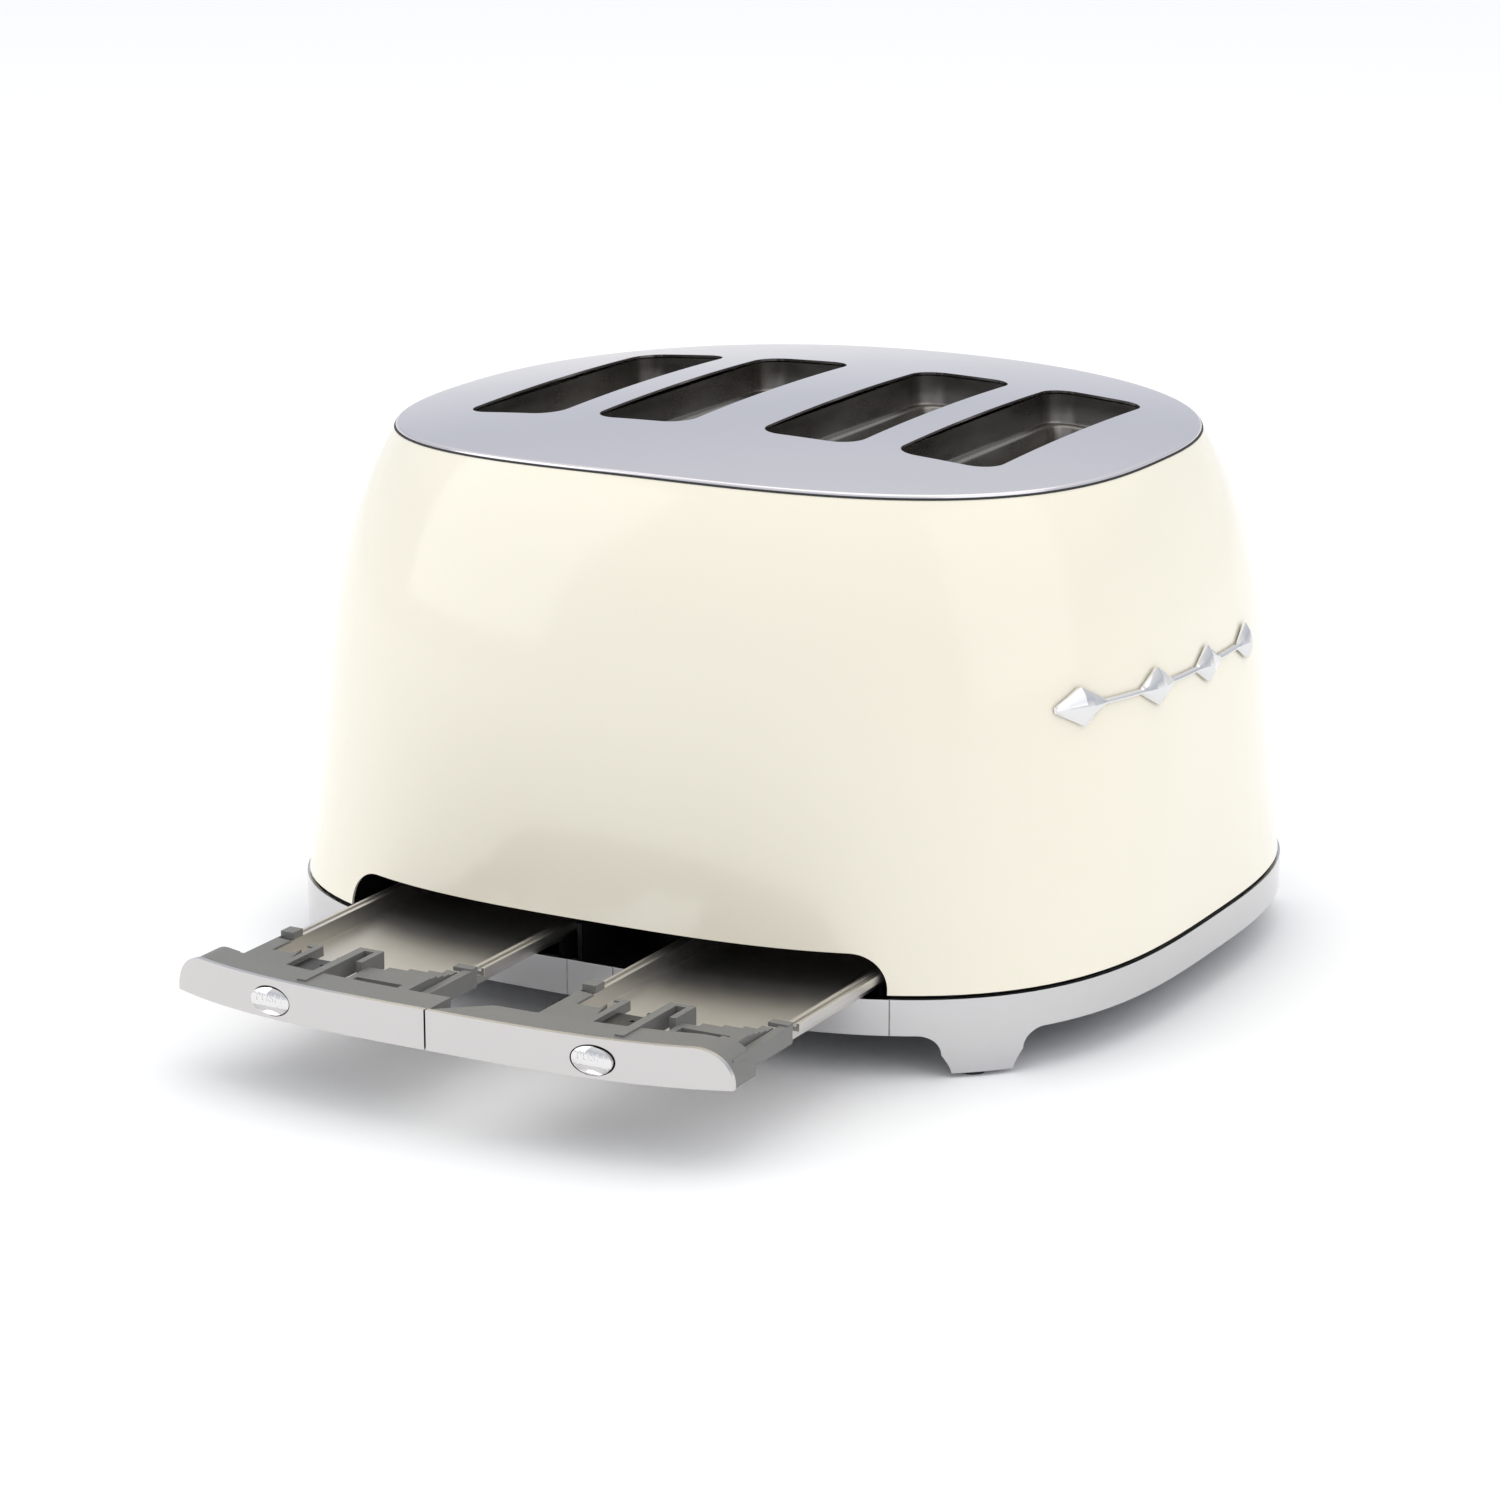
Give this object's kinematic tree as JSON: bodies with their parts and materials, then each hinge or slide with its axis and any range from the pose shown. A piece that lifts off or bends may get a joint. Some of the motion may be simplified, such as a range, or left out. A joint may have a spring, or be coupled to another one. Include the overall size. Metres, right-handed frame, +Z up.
{
  "type": "pop-up toaster",
  "caption": "Four-slot pop-up toaster with rounded enamelled shell, domed metal top, two bread lifts, control knobs and crumb trays drawn out.",
  "frame": {"origin": "bottom centre of the whole object at rest, crumb trays drawn out, on the surface it stands on", "axes": "+Z up, +Y from the crumb-tray side to the lever side, +X to the right when looking at the lever side from the tray side"},
  "size_m": [0.3482, 0.4392, 0.2079],
  "materials": {
    "base_ring": "polished chrome plate",
    "foot_pad_control_end_left": "matt black rubber",
    "foot_pad_control_end_right": "matt black rubber",
    "foot_pad_tray_end_left": "matt black rubber",
    "foot_pad_tray_end_right": "matt black rubber",
    "bottom_cover": "matt black plastic",
    "cord_gland": "matt black",
    "shell": "glossy cream enamel",
    "shell_gasket": "matt black",
    "top_plate": "polished chrome plate",
    "slot_liner_left": "heat-stained steel sheet",
    "slot_liner_right": "heat-stained steel sheet",
    "chamber": "plain steel sheet",
    "heater_1": "mica board with resistance ribbon",
    "heater_2": "mica board with resistance ribbon",
    "heater_3": "mica board with resistance ribbon",
    "heater_4": "mica board with resistance ribbon",
    "heater_5": "mica board with resistance ribbon",
    "heater_6": "mica board with resistance ribbon",
    "grid_1_left": "plain steel wire",
    "grid_1_right": "plain steel wire",
    "grid_2_left": "plain steel wire",
    "grid_2_right": "plain steel wire",
    "grid_3_left": "plain steel wire",
    "grid_3_right": "plain steel wire",
    "grid_4_left": "plain steel wire",
    "grid_4_right": "plain steel wire",
    "carriage_left": "plain steel",
    "lever_knob_left": "polished chrome",
    "lifter_left_outer": "heat-stained steel",
    "lifter_left_inner": "heat-stained steel",
    "guide_rod_left": "plain steel",
    "lift_spring_left": "spring steel wire",
    "magnet_left": "copper winding on a steel core",
    "browning_knob_left": "polished chrome",
    "button_left_1": "polished chrome",
    "button_left_2": "polished chrome",
    "button_left_3": "polished chrome",
    "tray_front_left": "polished chrome",
    "tray_frame_left": "satin grey plastic",
    "tray_pan_left": "brushed steel",
    "push_button_left": "polished chrome",
    "carriage_right": "plain steel",
    "lever_knob_right": "polished chrome",
    "lifter_right_outer": "heat-stained steel",
    "lifter_right_inner": "heat-stained steel",
    "guide_rod_right": "plain steel",
    "lift_spring_right": "spring steel wire",
    "magnet_right": "copper winding on a steel core",
    "browning_knob_right": "polished chrome",
    "button_right_1": "polished chrome",
    "button_right_2": "polished chrome",
    "button_right_3": "polished chrome",
    "tray_front_right": "polished chrome",
    "tray_frame_right": "satin grey plastic",
    "tray_pan_right": "brushed steel",
    "push_button_right": "polished chrome",
    "control_board": "green circuit board",
    "badge": "polished chrome"
  },
  "bodies": {
    "body": {"base_ring": "base_ring", "foot_pad_control_end_left": "foot_pad_control_end_left", "foot_pad_control_end_right": "foot_pad_control_end_right", "foot_pad_tray_end_left": "foot_pad_tray_end_left", "foot_pad_tray_end_right": "foot_pad_tray_end_right", "bottom_cover": "bottom_cover", "cord_gland": "cord_gland", "shell": "shell", "shell_gasket": "shell_gasket", "top_plate": "top_plate", "slot_liner_left": "slot_liner_left", "slot_liner_right": "slot_liner_right", "chamber": "chamber", "heater_1": "heater_1", "heater_2": "heater_2", "heater_3": "heater_3", "heater_4": "heater_4", "heater_5": "heater_5", "heater_6": "heater_6", "guide_rod_left": "guide_rod_left", "lift_spring_left": "lift_spring_left", "magnet_left": "magnet_left", "guide_rod_right": "guide_rod_right", "lift_spring_right": "lift_spring_right", "magnet_right": "magnet_right", "control_board": "control_board", "badge": "badge"},
    "lift_left": {"carriage_left": "carriage_left", "lever_knob_left": "lever_knob_left", "lifter_left_outer": "lifter_left_outer", "lifter_left_inner": "lifter_left_inner"},
    "grids_left_left": {"grid_1_left": "grid_1_left", "grid_2_left": "grid_2_left"},
    "grids_left_right": {"grid_1_right": "grid_1_right", "grid_2_right": "grid_2_right"},
    "browning_left": {"browning_knob_left": "browning_knob_left"},
    "key_left_1": {"button_left_1": "button_left_1"},
    "key_left_2": {"button_left_2": "button_left_2"},
    "key_left_3": {"button_left_3": "button_left_3"},
    "tray_left": {"tray_front_left": "tray_front_left", "tray_frame_left": "tray_frame_left", "tray_pan_left": "tray_pan_left"},
    "push_left": {"push_button_left": "push_button_left"},
    "lift_right": {"carriage_right": "carriage_right", "lever_knob_right": "lever_knob_right", "lifter_right_outer": "lifter_right_outer", "lifter_right_inner": "lifter_right_inner"},
    "grids_right_left": {"grid_3_left": "grid_3_left", "grid_4_left": "grid_4_left"},
    "grids_right_right": {"grid_3_right": "grid_3_right", "grid_4_right": "grid_4_right"},
    "browning_right": {"browning_knob_right": "browning_knob_right"},
    "key_right_1": {"button_right_1": "button_right_1"},
    "key_right_2": {"button_right_2": "button_right_2"},
    "key_right_3": {"button_right_3": "button_right_3"},
    "tray_right": {"tray_front_right": "tray_front_right", "tray_frame_right": "tray_frame_right", "tray_pan_right": "tray_pan_right"},
    "push_right": {"push_button_right": "push_button_right"}
  },
  "joints": [
    {"name": "lift_left_slide", "type": "slide", "parent": "body", "child": "lift_left", "axis": [0, 0, -1], "range_m": [0, 0.06], "stiffness_N_per_m": 60, "springref_m": -0.05, "deforming": ["lift_spring_left"]},
    {"name": "grids_left_left_slide", "type": "slide", "parent": "body", "child": "grids_left_left", "axis": [1, 0, 0], "range_m": [0, 0.006]},
    {"name": "grids_left_right_slide", "type": "slide", "parent": "body", "child": "grids_left_right", "axis": [-1, 0, 0], "range_m": [0, 0.006]},
    {"name": "browning_left_turn", "type": "hinge", "parent": "body", "child": "browning_left", "pos_m": [-0.0625, 0.20019, 0.066], "axis": [0, 1, 0], "range_deg": [0, 270]},
    {"name": "key_left_1_press", "type": "slide", "parent": "body", "child": "key_left_1", "axis": [0, -1, 0], "range_m": [0, 0.002], "stiffness_N_per_m": 300, "springref_m": -0.001},
    {"name": "key_left_2_press", "type": "slide", "parent": "body", "child": "key_left_2", "axis": [0, -1, 0], "range_m": [0, 0.002], "stiffness_N_per_m": 300, "springref_m": -0.001},
    {"name": "key_left_3_press", "type": "slide", "parent": "body", "child": "key_left_3", "axis": [0, -1, 0], "range_m": [0, 0.002], "stiffness_N_per_m": 300, "springref_m": -0.001},
    {"name": "tray_left_slide", "type": "slide", "parent": "body", "child": "tray_left", "axis": [0, 1, 0], "range_m": [-0.125, 0.11]},
    {"name": "push_left_press", "type": "slide", "parent": "tray_left", "child": "push_left", "axis": [0, 1, 0], "range_m": [0, 0.0025], "stiffness_N_per_m": 300, "springref_m": -0.001},
    {"name": "lift_right_slide", "type": "slide", "parent": "body", "child": "lift_right", "axis": [0, 0, -1], "range_m": [0, 0.06], "stiffness_N_per_m": 60, "springref_m": -0.05, "deforming": ["lift_spring_right"]},
    {"name": "grids_right_left_slide", "type": "slide", "parent": "body", "child": "grids_right_left", "axis": [1, 0, 0], "range_m": [0, 0.006]},
    {"name": "grids_right_right_slide", "type": "slide", "parent": "body", "child": "grids_right_right", "axis": [-1, 0, 0], "range_m": [0, 0.006]},
    {"name": "browning_right_turn", "type": "hinge", "parent": "body", "child": "browning_right", "pos_m": [0.0625, 0.20019, 0.066], "axis": [0, 1, 0], "range_deg": [0, 270]},
    {"name": "key_right_1_press", "type": "slide", "parent": "body", "child": "key_right_1", "axis": [0, -1, 0], "range_m": [0, 0.002], "stiffness_N_per_m": 300, "springref_m": -0.001},
    {"name": "key_right_2_press", "type": "slide", "parent": "body", "child": "key_right_2", "axis": [0, -1, 0], "range_m": [0, 0.002], "stiffness_N_per_m": 300, "springref_m": -0.001},
    {"name": "key_right_3_press", "type": "slide", "parent": "body", "child": "key_right_3", "axis": [0, -1, 0], "range_m": [0, 0.002], "stiffness_N_per_m": 300, "springref_m": -0.001},
    {"name": "tray_right_slide", "type": "slide", "parent": "body", "child": "tray_right", "axis": [0, 1, 0], "range_m": [-0.125, 0.11]},
    {"name": "push_right_press", "type": "slide", "parent": "tray_right", "child": "push_right", "axis": [0, 1, 0], "range_m": [0, 0.0025], "stiffness_N_per_m": 300, "springref_m": -0.001}
  ],
  "couplings": [
    {"joint": "grids_left_left_slide", "follows": "lift_left_slide", "ratio": 0.1},
    {"joint": "grids_left_right_slide", "follows": "lift_left_slide", "ratio": 0.1},
    {"joint": "grids_right_left_slide", "follows": "lift_right_slide", "ratio": 0.1},
    {"joint": "grids_right_right_slide", "follows": "lift_right_slide", "ratio": 0.1}
  ]
}
